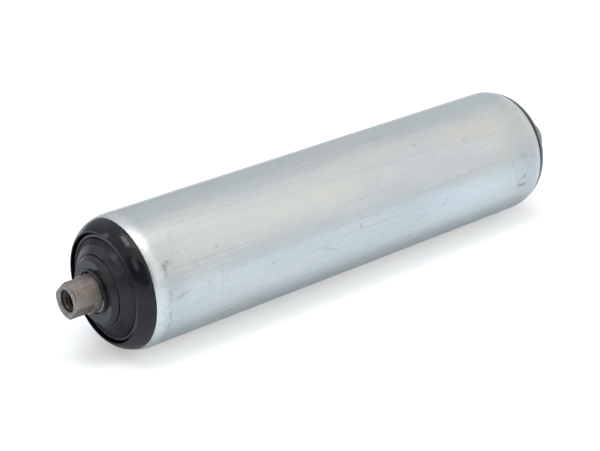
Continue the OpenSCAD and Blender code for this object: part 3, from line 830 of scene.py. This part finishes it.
# core on the shaft, inner skirt, and the inside of the band, which is the outer skirt
cover_back = [
    (core_back, shaft_r, 0), (core_back, core_r, 0.1), (core_step, core_r, 0),
    (core_step, core_wide_r, 0.15), (6.2, core_wide_r, 0.3), (6.3, 11.4, 0.4), (4.49, skirt_r, 0.2),
    (skirt_end, skirt_r, 0.15), (skirt_end, skirt_r + skirt_thick, 0.15),
    (3.93, skirt_r + skirt_thick, 0.2), (2.4, 18.3, 0.1), (2.4, band_r - skirt_thick, 0.1),
    (-0.3, band_r - skirt_thick, 0.15),
]
cover_section = rounded([(lip + out, r, fillet) for out, r, fillet in cover_front + cover_back])
cover_angles = all_round(256, [edge + d for edge in (panel_from, panel_to, rings_from, rings_to)
                               for d in (-angle_blend, -0.4, -0.2, 0, 0.2, 0.4)])

# black moulding: dusty, with painted shade on the hub's face round the collar and a little rust washed
# down from the shaft
satin_black, tree, sockets, place = finish("cover_plastic", (0.016, 0.0165, 0.02), 0.0, 0.3)
sockets["Specular IOR Level"].default_value = 0.47
sockets["Specular Tint"].default_value = (0.95, 0.94, 1.0, 1)
dusty = effect(tree, dust_group, Place=place, Patch_size=0.2, Amount=0.4)
worn = effect(tree, wear_group, Place=place, Reach=0.05, Patch_size=0.6)
flow = noise(tree, place, 0.12, 4.0, 0.55)
off_axis = from_axis(tree, place)
colour = tint(tree, flow, (0.0125, 0.0125, 0.0175), (0.019, 0.019, 0.0265))
colour = tint(tree, sums(tree, "MULTIPLY", dusty, 0.7), colour, (0.06, 0.059, 0.058))
rust_run = sums(tree, "MULTIPLY", fade(tree, off_axis, 10.6, 9.6), fade(tree, flow, 0.5, 0.62))
# painted shade: the hub's face is painted near black from the collar's foot outwards
grime_and_painted_shade = sums(tree, "MULTIPLY", fade(tree, off_axis, 11.0, 8.8, 0.0, 0.9),
             fade(tree, off_axis, 8.36, 8.42))
colour = tint(tree, grime_and_painted_shade, colour, (0.002, 0.002, 0.003))
colour = tint(tree, sums(tree, "MULTIPLY", rust_run, 0.3), colour, (0.035, 0.022, 0.015))
worn = sums(tree, "MULTIPLY", worn, fade(tree, off_axis, 10.5, 9.5, 0.0, 0.25))
tree.links.new(tint(tree, worn, colour, (0.09, 0.09, 0.095)), sockets["Base Color"])
rough = sums(tree, "ADD", fade(tree, flow, 0.3, 0.7, 0.24, 0.34),
             fade(tree, off_axis, 11.7, 10.9, 0.0, -0.1))
tree.links.new(sums(tree, "ADD", rough, sums(tree, "MULTIPLY", dusty, 0.25)), sockets["Roughness"])
bumped(tree, noise(tree, place, 1.3, 2.0, 0.5), 0.005, sockets, 0.4)

for side, sign in SIDES.items():
    cover = turned(f"end_cover_{side}_moulding", [(sign * x, r) for x, r in cover_section],
                   cover_angles, shape=patterned)
    dress(cover, "shaft_assembly", satin_black, "cover_plastic", f"end_cover_{side}")

# ---- retaining rings ----
# An open ring of round spring wire, snapped into a groove in the shaft inside each collar. It is painted
# near black all round but for a bright crescent on its lower front side.

spring, tree, sockets, place = finish("spring_wire", (0.55, 0.54, 0.52), 1.0, 0.3)
drawn = effect(tree, streak_group, Place=place, Fineness=2.0, Run=1.0)
# the side of the wire that faces down and to the front is painted bright, the rest near black
bright_side = put(tree, "ShaderNodeVectorMath", {0: place, 1: (0, -0.105, -0.085)}, output="Value",
             operation="DOT_PRODUCT")
bright_side = fade(tree, bright_side, 0.72, 0.98)
colour = tint(tree, drawn, (0.33, 0.32, 0.31), (0.5, 0.49, 0.475))
tree.links.new(tint(tree, bright_side, (0.035, 0.03, 0.027), colour), sockets["Base Color"])
tree.links.new(fade(tree, drawn, 0.3, 0.7, 0.22, 0.4), sockets["Roughness"])
bumped(tree, drawn, 0.01, sockets, 0.5)
paint("retaining_ring", spring)

# ---- floor and light ----
# The roller lies on a plain white floor, in a pale room with one dark doorway. A large soft light
# hangs over its middle, a smaller one over its near end, and a strip light stands at the back.

floor_reach = 8.0
corners = [(x * floor_reach, y * floor_reach, cad_low.z) for x, y in ((-1, -1), (1, -1), (1, 1), (-1, 1))]
floor_mesh = bpy.data.meshes.new("floor")
floor_mesh.from_pydata(corners, [], [(0, 1, 2, 3)])
floor = placed("floor", floor_mesh)
floor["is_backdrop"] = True


def background_seen(tree, glossy_share):
    """1 for the rays that show the white background, a share of it for those that mirrors send."""
    path = tree.nodes.new("ShaderNodeLightPath").outputs
    mirrored = sums(tree, "ADD", path["Is Glossy Ray"], path["Is Transmission Ray"])
    seen = sums(tree, "ADD", path["Is Camera Ray"], sums(tree, "MULTIPLY", mirrored, glossy_share))
    return sums(tree, "MINIMUM", seen, 1.0)


paper = bpy.data.materials.new("floor_paper")
paper.use_nodes = True
tree = paper.node_tree
shader = tree.nodes["Principled BSDF"]
shader.inputs["Base Color"].default_value = (0.84, 0.915, 0.98, 1)
shader.inputs["Roughness"].default_value = 0.9
shader.inputs["Specular IOR Level"].default_value = 0.1
lifted = put(tree, "ShaderNodeEmission", {
    "Color": (1.0, 0.94, 0.88, 1), "Strength": sums(tree, "MULTIPLY", background_seen(tree, 0.22), 0.42)})
both = put(tree, "ShaderNodeAddShader", {0: shader.outputs[0], 1: lifted})
tree.links.new(both, tree.nodes["Material Output"].inputs["Surface"])
floor.data.materials.append(paper)

# the room: brightest high up in front, with the dark doorway that the camera looks in through
world = bpy.data.worlds.new("room")
scene = bpy.context.scene
scene.world = world
world.use_nodes = True
tree = world.node_tree
tree.nodes.clear()
look = put(tree, "ShaderNodeTexCoord", output="Generated")


def facing(bearing, rise):
    """How far a look points to a bearing and a rise, in degrees: 1 straight at it, -1 away."""
    flat = math.cos(math.radians(rise))
    aim = (flat * math.cos(math.radians(bearing)), flat * math.sin(math.radians(bearing)),
           math.sin(math.radians(rise)))
    return put(tree, "ShaderNodeVectorMath", {0: look, 1: aim}, output="Value", operation="DOT_PRODUCT")


height = facing(0, 90)
doorway = sums(tree, "MULTIPLY", fade(tree, height, 0.12, 0.2), fade(tree, height, 0.80, 0.72))
doorway = sums(tree, "MULTIPLY", doorway, fade(tree, facing(-136, 20), 0.76, 0.84))
bright = facing(-63, 48)
walls = tint(tree, fade(tree, bright, 0.1, 1.0), (0.66, 0.69, 0.71), (0.97, 0.955, 0.935))
walls = tint(tree, fade(tree, bright, 0.0, -0.5), walls, (0.36, 0.38, 0.40))
walls = tint(tree, doorway, walls, (0.05, 0.05, 0.055))
window = fade(tree, facing(-141, 40), 0.984, 0.991)
walls = tint(tree, window, walls, (1.5, 1.3, 1.05))
ambient = put(tree, "ShaderNodeBackground", {"Color": walls, "Strength": 1.0})
white = put(tree, "ShaderNodeBackground", {"Color": (1, 1, 1, 1), "Strength": 1.0})
room = put(tree, "ShaderNodeMixShader", {0: background_seen(tree, 0.1), 1: ambient, 2: white})
tree.links.new(room, tree.nodes.new("ShaderNodeOutputWorld").inputs["Surface"])


def lamp(name, place, aim, wide, high, radiance, colour):
    """A rectangular soft light, turned to face a point."""
    data = bpy.data.lights.new(name, "AREA")
    data.shape = "RECTANGLE"
    data.size, data.size_y = wide, high
    data.energy = radiance * math.pi * wide * high
    data.color = colour
    light = bpy.data.objects.new(name, data)
    scene.collection.objects.link(light)
    light.location = place
    light.rotation_euler = (Vector(aim) - Vector(place)).to_track_quat("-Z", "Y").to_euler()


# three sheets of one softbox, each smaller and brighter, so that its light fades towards the edge
soft_white, cool_white = (1.0, 0.99, 0.98), (0.97, 0.98, 1.0)
for i, (share, radiance) in enumerate(((1.14, 1.0), (0.8, 1.4), (0.5, 2.2))):
    lamp(f"overhead_softbox_{i}", (-0.05, -0.07, 0.85), (0, 0, 0), 0.62 * share, 0.38 * share, radiance,
         soft_white)
lamp("near_softbox", (-0.36, 0.07, 0.85), (-0.1, 0, 0), 0.32, 0.2, 3.1, soft_white)
lamp("rear_strip_light", (-0.72, 0.70, 0.44), (0, 0, 0), 0.12, 0.55, 1.8, cool_white)

# the camera looks down along the roller, from beyond its near end and from the front
camera_data = bpy.data.cameras.new("camera")
camera_data.lens = 100
camera_data.sensor_width = 36
camera = bpy.data.objects.new("camera", camera_data)
scene.collection.objects.link(camera)
camera.location = (-0.3876, -0.4391, 0.2629)
camera.rotation_euler = Vector((0.5906, 0.6903, -0.4178)).to_track_quat("-Z", "Y").to_euler()
scene.camera = camera
scene.view_settings.view_transform = "Standard"

low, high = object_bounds()
